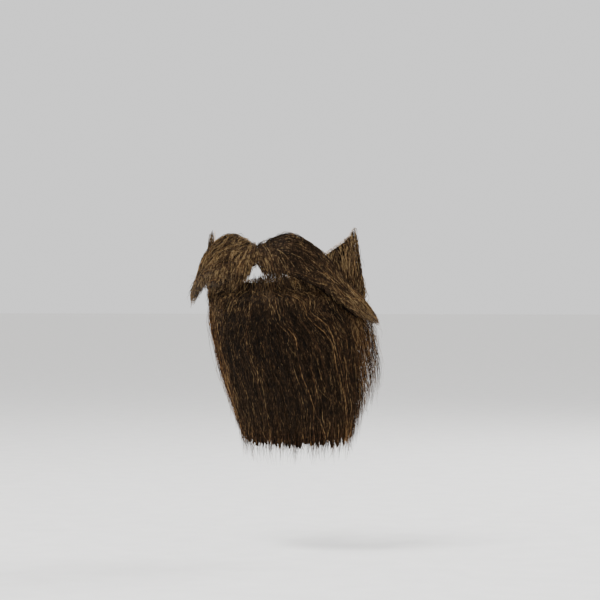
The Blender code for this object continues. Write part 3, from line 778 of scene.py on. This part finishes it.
def make_wing(side, count, clumps, seed):
    """One wing: long strands run to its tip, and short ones sweep down from the lip and end along its foot."""
    hair = bpy.context.scene.beard_hair
    steps = hair.steps - 6
    rng = np.random.default_rng(seed)
    point = wing_layer(side)
    core_end = {"left": 0.86, "right": 0.66}[side]

    def core(across, along):
        return core_layer(along, (-0.02, 0.12), 0.4, core_end)

    kind = rng.random(count)
    central, near_lip, fringe = kind < PARTING, (kind > PARTING) & (kind < NEAR_LIP), kind < FRINGE
    root_along = np.where(central, rng.uniform(-0.07, 0.03, count), -0.03 + 0.53 * rng.random(count)**1.2)
    root_along = np.where(near_lip, rng.uniform(-0.02, 0.14, count), root_along)
    root_across = np.where(central, rng.uniform(0, 0.9, count), rng.uniform(-0.8, 0.88, count))
    root_across = np.minimum(root_across, 0.84 + 0.06 * ease(root_along, 0.25, 0.4))
    if side == "right":
        root_across = np.where(fringe, root_across, np.maximum(root_across, -0.4))
    clump, centre = join_clumps(np.stack((3 * root_along, root_across), -1), clumps, rng)
    by_clump = rng.normal(0, 1, count)[clump]
    # A strand of the fringe runs outwards as far as it comes down, and beside the mouth it hangs straighter
    run_out = np.where(near_lip, rng.uniform(0.03, 0.08, count), rng.uniform(0.13, 0.24, count))
    short_end = root_along + np.where(central, rng.uniform(0.0, 0.10, count), 0.04 + run_out * (root_across + 1))
    short_end = np.minimum(short_end, core_end - 0.04 + rng.normal(0, 0.05, count))
    if side == "left":
        tip, tip_across = 0.93, 0.85 * root_across
    else:
        # Its tail's strands gather towards two points, and end unevenly
        tip = 0.97 - 0.30 * rng.random(count)
        tip_across = np.where(root_across[centre] > 0.35, 0.75, -0.25)
    end_along = np.where(fringe, short_end, tip + 0.05 * by_clump + rng.normal(0, 0.04, count))
    # Beside the mouth the fringe hangs lower than the wing's foot, down to the chin's hair
    hanging = 0.52 * ease(short_end, 0.01, 0.06) * (1 - ease(short_end, 0.16, 0.34))
    foot = -1.0 - hanging + 0.08 * by_clump + rng.normal(0, 0.08, count) + 0.6 * rng.random(count)**4
    end_across = np.where(fringe, foot, tip_across + rng.normal(0, 0.08, count))
    end_across += (root_across[centre] - root_across) * 0.4 * rng.random(count) * ~fringe
    end_across = np.clip(end_across, -1.6, 1.0)
    t = strand_share(steps)
    across = root_across[:, None] + (end_across - root_across)[:, None] * t**1.3
    along = root_along[:, None] + (np.clip(end_along, -0.03, 1.04) - root_along)[:, None] * t
    layer = np.clip(1 - 0.8 * rng.random(count)**1.3, 0.05, 1)
    lift = np.where(root_across > 0.7, rng.uniform(0, 0.35, count) * ROOT_LIFT, 0)
    strands = Strands(across, along, layer, clump, np.zeros(count), lift)
    look = Look(steps, 0.15, 0.0008, 0.8 * hair.frizz, 0.05, 0.6)
    paths, stray, radii, tones = grown(point, core, strands, look, {"left": 0.0, "right": 0.20}[side], rng)
    if side == "left":
        # The outer half of this wing has fair streaks
        streak = (rng.random(count) < 0.5)[clump] * rng.uniform(0.2, 0.5, count)
        tones = np.clip(tones + streak[:, None] * ease(along, 0.40, 0.75), 0, 1)
    # Painted light that comes through the hair in strays and at the wing's tip
    painted_backlight = np.clip(0.3 * stray + 0.4 * ease(along, 0.85, 1.05), 0, 1)
    columns = np.linspace(-0.93, 0.88, 41)
    ends = core_end - 0.06 * rng.random(len(columns))
    head_of_hair(f"moustache_wing_{side}", paths, radii, tones, painted_backlight,
                 core_solid(point, core, columns, 0.0, ends))


# Laces


def honeycomb(low, high, side):
    """(places, links) of a net of hexagons with sides of this length, over a rectangle."""
    across, up = math.sqrt(0.75) * side, 1.5 * side
    columns, rows = np.ceil((high - low) / (across, up)).astype(int) + 1
    i, j = np.meshgrid(np.arange(columns), np.arange(rows), indexing="ij")
    places = np.stack((low[0] + i * across, low[1] + j * up + (i + j) % 2 * side / 2), -1).reshape(-1, 2)
    index = np.arange(columns * rows).reshape(columns, rows)
    zigzag = np.stack((index[:-1].ravel(), index[1:].ravel()), -1)
    meets = (i + j)[:, 1:] % 2 == 0
    upright = np.stack((index[:, 1:][meets], index[:, :-1][meets]), -1)
    return places, np.concatenate((zigzag, upright))


def make_net(name, node, spread, edge, stand, seed):
    """A net of thread over the face between the rows that edge gives, out to a turn each way."""
    lace = bpy.context.scene.beard_lace
    rng = np.random.default_rng(seed)
    turns = np.linspace(-spread, spread, 241)
    rows = np.linspace(0, len(FACE["level"]) - 1, 241)
    skin = face_point(turns[None], rows[:, None])
    at_mouth = np.argmin(np.abs(rows - MOUTH_ROW))
    along = np.concatenate(([0], np.linalg.norm(np.diff(skin[at_mouth], axis=0), axis=1).cumsum()))
    down = np.concatenate((np.zeros((1, len(turns))), np.linalg.norm(np.diff(skin, axis=0), axis=2).cumsum(0)))
    down -= down[at_mouth]
    top_down, foot_down = (np.array([np.interp(edge(turn, end), rows, down[:, k]) for k, turn in enumerate(turns)])
                           for end in ("top", "foot"))
    places, links = honeycomb(np.array((0, top_down.min())), np.array((along[-1], foot_down.max())), lace.cell)
    column = np.clip(np.interp(places[:, 0], along, np.arange(len(turns))), 0, len(turns) - 1.001)
    whole = column.astype(int)
    part = column - whole

    def at_place(values):
        return np.interp(column, np.arange(len(turns)), values)

    inside = np.minimum(places[:, 1] - at_place(top_down), at_place(foot_down) - places[:, 1])
    levels = np.linspace(down.min(), down.max(), 400)
    row_at = np.array([np.interp(levels, down[:, k], rows) for k in range(len(turns))])
    level = np.clip(np.interp(places[:, 1], levels, np.arange(400)), 0, 398.999)
    low = level.astype(int)
    rise = level - low
    row = ((row_at[whole, low] * (1 - rise) + row_at[whole, low + 1] * rise) * (1 - part)
           + (row_at[whole + 1, low] * (1 - rise) + row_at[whole + 1, low + 1] * rise) * part)
    turn = at_place(turns)
    placed = off_skin(turn, row, stand(turn))
    normal = unit(off_skin(turn, row, stand(turn) + 1e-3) - placed)

    # Threads that cross the lace's edge are cut there
    kept = links[(inside[links] > 0).any(1)]
    flip = inside[kept[:, 0]] < inside[kept[:, 1]]
    kept[flip] = kept[flip][:, ::-1]
    start, end = kept.T
    cut = np.clip(inside[start] / np.maximum(inside[start] - inside[end], 1e-9), 0.15, 1)
    cut = np.where(inside[end] > 0, 1, cut)[:, None]
    a = placed[start]
    b = a + (placed[end] - a) * cut
    way = unit(b - a)
    beside = np.cross(way, unit(normal[start] + normal[end]))
    ring = lace.thread / 2 * three_sided(beside, np.cross(beside, way))
    threads = np.concatenate((a[:, None] + ring, b[:, None] + ring), 1).reshape(-1, 3)
    sides = repeated([(k, (k + 1) % 3, (k + 1) % 3 + 3, k + 3) for k in range(3)], 6, len(kept))
    caps = repeated([(2, 1, 0), (3, 4, 5)], 6, len(kept))

    # A knot of hair is a small octahedron at a corner of the net
    knotted = np.flatnonzero((inside > LACE_MARGIN) & (rng.random(len(placed)) < lace.knotted))
    out = normal[knotted]
    first = unit(np.cross(out, np.array((0.0, 0.0, 1.0))))
    second = np.cross(out, first)
    axes = np.stack((first, -first, second, -second, out, -out), 1)
    knots = placed[knotted][:, None] + 0.85 * lace.thread * axes * rng.uniform(0.8, 1.3, (len(knotted), 1, 1))
    octahedron = [(0, 2, 4), (2, 1, 4), (1, 3, 4), (3, 0, 4), (2, 0, 5), (1, 2, 5), (3, 1, 5), (0, 3, 5)]
    knot_faces = len(threads) + repeated(octahedron, 6, len(knotted))

    points = np.concatenate((threads, knots.reshape(-1, 3)))
    tone = np.full(len(points), 0.15)
    piece = mesh_piece(name, points, [sides, caps, knot_faces],
                       [ready("skin-toned net", lace_material), ready("wefted brown hair", hair_material)],
                       {"tone": tone, "painted_backlight": 0 * tone},
                       np.repeat((0, 1), (len(sides) + len(caps), len(knot_faces))))
    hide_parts(node)
    return piece


def flat_size(spread, edge):
    """(width, height, area) of a lace as it is cut, before it is shaped to the face."""
    turns = np.linspace(-spread, spread, 201)
    shares = np.linspace(0, 1, 81)[:, None]
    rows = edge(turns, "top") + (edge(turns, "foot") - edge(turns, "top")) * shares
    skin = face_point(turns, rows)
    round_face = np.diff(skin, axis=1)[:-1]
    down_face = np.diff(skin, axis=0)[:, :-1]
    area = np.linalg.norm(np.cross(round_face, down_face), axis=2).sum()
    width = np.linalg.norm(round_face, axis=2).sum(1).max()
    height = np.linalg.norm(down_face, axis=2).sum(0).max()
    return float(width), float(height), float(area)


def lip_edge(turn, edge):
    return np.interp(np.abs(turn) / LIP_LACE_SPREAD, LIP_LACE["share"], LIP_LACE[edge])


class BEARD_OT_laces(bpy.types.Operator):
    """Make the two nets of lace that the hair is knotted on"""
    bl_idname = "beard.laces"
    bl_label = "Laces"

    def execute(self, context):
        def on_skin(_):
            return LACE_THICKNESS / 2

        def lapped(turn):
            return lip_edge(turn, "lap") * HAIR_SEAT + LACE_THICKNESS / 2

        beard = make_net("beard_lace_net", "beard_lace", LACE_SPREAD, lace_edge, on_skin, 51)
        width, height, area = flat_size(LACE_SPREAD, lace_edge)
        lip = make_net("moustache_lace_net", "moustache_lace", LIP_LACE_SPREAD, lip_edge, lapped, 52)
        width, height, area = flat_size(LIP_LACE_SPREAD, lip_edge)
        return {"FINISHED"}


class BEARD_OT_chin_hair(bpy.types.Operator):
    """Make the hair of the chin, which hangs as the front of the fall"""
    bl_idname = "beard.chin_hair"
    bl_label = "Chin Hair"

    def execute(self, context):
        make_top_hair("chin_hair", -CHIN_PANEL, CHIN_PANEL, context.scene.beard_hair.chin, 160, 0.18, 11)
        return {"FINISHED"}


class BEARD_OT_sideburn_hair(bpy.types.Operator):
    """Make the hair of both sideburns and cheeks, which hangs at the fall's sides"""
    bl_idname = "beard.sideburn_hair"
    bl_label = "Sideburn Hair"

    def execute(self, context):
        hair = context.scene.beard_hair
        end = LACE_SPREAD - LACE_MARGIN / FACE_DEPTH
        make_top_hair("sideburn_hair_left", CHIN_PANEL, end, hair.left_cheek, 120, 0.35, 21)
        make_top_hair("sideburn_hair_right", -end, -CHIN_PANEL, hair.right_cheek, 100, 0.5, 22)
        return {"FINISHED"}


class BEARD_OT_under_hair(bpy.types.Operator):
    """Make the hair knotted under the jaw, which fills the fall behind the top layer"""
    bl_idname = "beard.under_hair"
    bl_label = "Under Hair"

    def execute(self, context):
        make_under_hair(context.scene.beard_hair.under, 90, 31)
        return {"FINISHED"}


class BEARD_OT_moustache(bpy.types.Operator):
    """Make the moustache's two wings, combed out from the parting"""
    bl_idname = "beard.moustache"
    bl_label = "Moustache"

    def execute(self, context):
        for side, seed in (("left", 41), ("right", 42)):
            make_wing(side, context.scene.beard_hair.wing, 90, seed)
        return {"FINISHED"}


class BEARD_OT_stage(bpy.types.Operator):
    """Make the pale floor, the soft studio light and the camera at the photograph's angle"""
    bl_idname = "beard.stage"
    bl_label = "Stage"

    def execute(self, context):
        stage = context.scene.beard_stage
        for selected in context.selected_objects:
            selected.select_set(False)
        turn = stage.camera_turn
        right = Vector((math.cos(turn), math.sin(turn), 0))
        towards = Vector((math.sin(turn), -math.cos(turn), 0))
        mouth = Vector((0, FACE["front"][MOUTH_ROW] * PROFILE_RELIEF, FACE["level"][MOUTH_ROW] * FACE_HEIGHT))
        centre = mouth + right * stage.mouth_left - Vector((0, 0, stage.mouth_up))
        away = (-towards).to_track_quat("-Z", "Y").to_euler()
        bpy.ops.object.camera_add(location=centre + towards * stage.camera_distance, rotation=away)
        camera = context.object
        camera.name = "camera"
        camera.data.lens = camera.data.sensor_width * stage.camera_distance / stage.view_width
        context.scene.camera = camera

        bpy.ops.mesh.primitive_plane_add(size=60, location=(0, 0, CAD_LOW[2] - stage.floor_gap))
        bpy.ops.object.transform_apply(location=True, rotation=False, scale=False)
        floor = context.object
        floor.name = "floor"
        floor.data.materials.append(ready("matt studio paper", paper_material))

        world = bpy.data.worlds.new("studio")
        world.use_nodes = True
        background = world.node_tree.nodes["Background"]
        background.inputs["Color"].default_value = (1, 1, 1, 1)
        background.inputs["Strength"].default_value = stage.room_light
        context.scene.world = world
        for name, place, size, power in (
            ("key softbox", (-0.5, -1.1, 1.9), 0.9, stage.key_light),
            ("fill softbox", (1.6, -1.0, 0.6), 1.2, 0.2 * stage.key_light),
            ("rim softbox", (0.8, 1.4, 1.1), 0.8, 0.5 * stage.key_light),
        ):
            aim = (centre - Vector(place)).to_track_quat("-Z", "Y").to_euler()
            bpy.ops.object.light_add(type="AREA", location=place, rotation=aim)
            lamp = context.object
            lamp.name = name
            lamp.data.energy = power
            lamp.data.size = size
        return {"FINISHED"}


def colour_setting(name, description, text):
    return FloatVectorProperty(name=name, description=description, subtype="COLOR", size=3, min=0, max=1,
                               default=to_linear(text))


def length_setting(name, description, default, precision=4):
    return FloatProperty(name=name, description=description, default=default, min=0, unit="LENGTH",
                         precision=precision)


def count_setting(name, description, default, most):
    return IntProperty(name=name, description=description, default=default, min=8, max=most)


class BeardHair(bpy.types.PropertyGroup):
    """Colours, fineness and numbers of the strands"""

    dark: colour_setting("Dark", "Hair in the depth of the fall", "#070402")
    base: colour_setting("Base", "Most of the hair", "#1e1409")
    fair: colour_setting("Fair", "The lighter strands", "#433120")
    light: colour_setting("Light", "The palest strands", "#8a7350")
    strand_width: length_setting("Strand width", "Width of a strand at its fullest", 0.00040, 5)
    frizz: length_setting("Frizz", "How far a strand wanders from its clump", 0.0017, 5)
    steps: count_setting("Steps", "Points along a strand", 20, 30)
    chin: count_setting("Chin", "Strands on the chin", 1680, 1750)
    left_cheek: count_setting("Left cheek", "Strands of the left sideburn and cheek", 1400, 1750)
    right_cheek: count_setting("Right cheek", "Strands of the right sideburn and cheek", 1080, 1750)
    under: count_setting("Under", "Strands knotted under the jaw", 950, 1750)
    wing: count_setting("Wing", "Strands of each wing of the moustache", 1400, 2500)


class BeardLace(bpy.types.PropertyGroup):
    """Colour and weave of the nets"""

    colour: colour_setting("Colour", "Thread of the net", "#d9b99c")
    cell: length_setting("Cell", "Side of a hexagon of the net, drawn coarse so that it shows", 0.0011)
    thread: length_setting("Thread", "Width of the thread", 0.00052, 5)
    knotted: FloatProperty(name="Knotted", description="Share of the net's corners with a knot of hair",
                           default=0.5, min=0, max=1, subtype="FACTOR")


class BeardStage(bpy.types.PropertyGroup):
    """Camera, floor and light"""

    camera_turn: FloatProperty(name="Camera turn", description="Round from the wearer's front to their left",
                               default=radians(18), subtype="ANGLE")
    camera_distance: length_setting("Camera distance", "From the camera to the mouth", 1.8)
    view_width: length_setting("View width", "What the picture spans at the mouth", 0.510)
    mouth_left: length_setting("Mouth left", "The mouth, left of the picture's middle", 0.03655)
    mouth_up: length_setting("Mouth up", "The mouth, above the picture's middle", 0.0255)
    floor_gap: length_setting("Floor gap", "The floor, below the longest hair", 0.09)
    room_light: FloatProperty(name="Room light", description="Even light of the room", default=1.1, min=0)
    key_light: FloatProperty(name="Key light", description="The key softbox, in watts", default=60, min=0)


class BEARD_PT_panel(bpy.types.Panel):
    """Sizes, colours and pieces of the false beard"""
    bl_idname = "BEARD_PT_panel"
    bl_label = "False Beard"
    bl_space_type = "VIEW_3D"
    bl_region_type = "UI"
    bl_category = "Beard"

    def draw(self, context):
        for name, group in GROUPS.items():
            box = self.layout.box()
            for setting in group.__annotations__:
                box.prop(getattr(context.scene, name), setting)
        for operator in OPERATORS:
            self.layout.operator(operator.bl_idname)


GROUPS = {"beard_hair": BeardHair, "beard_lace": BeardLace, "beard_stage": BeardStage}
OPERATORS = (BEARD_OT_laces, BEARD_OT_under_hair, BEARD_OT_sideburn_hair, BEARD_OT_chin_hair, BEARD_OT_moustache,
             BEARD_OT_stage)
CLASSES = (*GROUPS.values(), *OPERATORS, BEARD_PT_panel)


def register():
    for cls in CLASSES:
        bpy.utils.register_class(cls)
    for name, group in GROUPS.items():
        setattr(bpy.types.Scene, name, PointerProperty(type=group))


def unregister():
    for name in GROUPS:
        delattr(bpy.types.Scene, name)
    for cls in reversed(CLASSES):
        bpy.utils.unregister_class(cls)


def main():
    register()
    bpy.ops.beard.stage()
    bpy.ops.beard.laces()
    bpy.ops.beard.under_hair()
    bpy.ops.beard.sideburn_hair()
    bpy.ops.beard.chin_hair()
    bpy.ops.beard.moustache()


if __name__ == "__main__":
    main()
